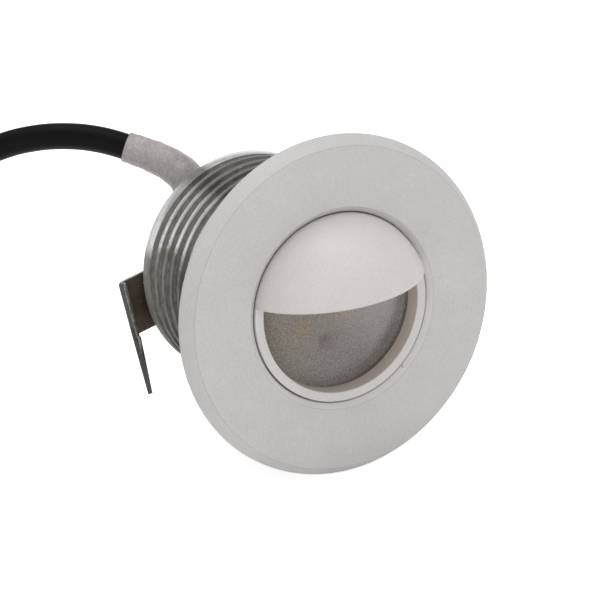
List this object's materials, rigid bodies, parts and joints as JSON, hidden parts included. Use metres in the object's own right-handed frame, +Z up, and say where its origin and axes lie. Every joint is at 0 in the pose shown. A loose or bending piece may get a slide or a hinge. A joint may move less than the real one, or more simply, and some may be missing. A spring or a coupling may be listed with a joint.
{
  "type": "puck light",
  "caption": "Round recessed step light: a white flange with an eyelid hood over a frosted lens, on a grooved aluminium body with spring clips and a cord.",
  "frame": {"origin": "centre of the round body in the plane of the wall's face, which is the back of the front flange", "axes": "+Y along the body's axis into the wall, +Z up with the hood at the top, +X to the right seen from the front"},
  "size_m": [0.1373, 0.1026, 0.06],
  "materials": {
    "white_paint": "satin powder coat",
    "white_paint_hood": "satin powder coat",
    "seal_rubber": "matte",
    "frosted_lens": "frosted",
    "chamber_white": "matte",
    "board_white": "solder mask",
    "led_phosphor": "matte",
    "screw_steel": "satin",
    "pad_grey": "matte",
    "wire_red": "satin",
    "bare_aluminium": "turned",
    "board_green": "solder mask",
    "inductor_brown": "matte",
    "capacitor_black": "satin",
    "chip_black": "matte",
    "cover_aluminium": "turned",
    "clip_steel": "dark spring steel",
    "gland_black": "matte",
    "cord_black": "matte",
    "sleeve_grey": "matte",
    "tie_black": "matte",
    "wire_brown": "satin",
    "wire_blue": "satin",
    "tinned_copper": "tinned"
  },
  "bodies": {
    "lamp": {"front_flange": "white_paint", "front_o_ring": "seal_rubber", "lens": "frosted_lens", "lens_gasket": "seal_rubber", "light_chamber": "chamber_white", "led_board": "board_white", "led_packages": "led_phosphor", "board_screws": "screw_steel", "thermal_pad": "pad_grey", "led_wires": "wire_red", "housing": "bare_aluminium", "driver_board": "board_green", "driver_screws": "screw_steel", "driver_inductor": "inductor_brown", "driver_capacitor": "capacitor_black", "driver_chips": "chip_black", "supply_wires": "wire_blue", "cover_o_ring": "seal_rubber", "rear_cover": "cover_aluminium", "cover_screws": "screw_steel", "clip_screws": "screw_steel", "clip_foot_left": "clip_steel", "clip_foot_right": "clip_steel", "gland_body": "gland_black", "gland_locknut": "gland_black", "gland_seal": "seal_rubber", "gland_cap": "gland_black", "cord_entry": "cord_black", "cord_run": "cord_black", "label_sleeve": "sleeve_grey", "cord_coil": "cord_black", "coil_tie": "tie_black", "core_brown": "wire_brown", "core_blue": "wire_blue", "core_tips": "tinned_copper"},
    "eyelid": {"eyelid_bezel": "white_paint_hood"},
    "clip_left": {"clip_wing_left": "clip_steel"},
    "clip_right": {"clip_wing_right": "clip_steel"}
  },
  "joints": [
    {"name": "eyelid_turn", "type": "hinge", "parent": "lamp", "child": "eyelid", "pos_m": [0, 0, 0], "axis": [0, 1, 0], "continuous": true},
    {"name": "clip_left_flex", "type": "hinge", "parent": "lamp", "child": "clip_left", "pos_m": [-0.01866, 0.03485, -0.00229], "axis": [0.1219, 0, -0.9925], "range_deg": [0, 65], "stiffness_Nm_per_rad": 0.05},
    {"name": "clip_right_flex", "type": "hinge", "parent": "lamp", "child": "clip_right", "pos_m": [0.01866, 0.03485, 0.00229], "axis": [-0.1219, 0, 0.9925], "range_deg": [0, 65], "stiffness_Nm_per_rad": 0.05}
  ]
}
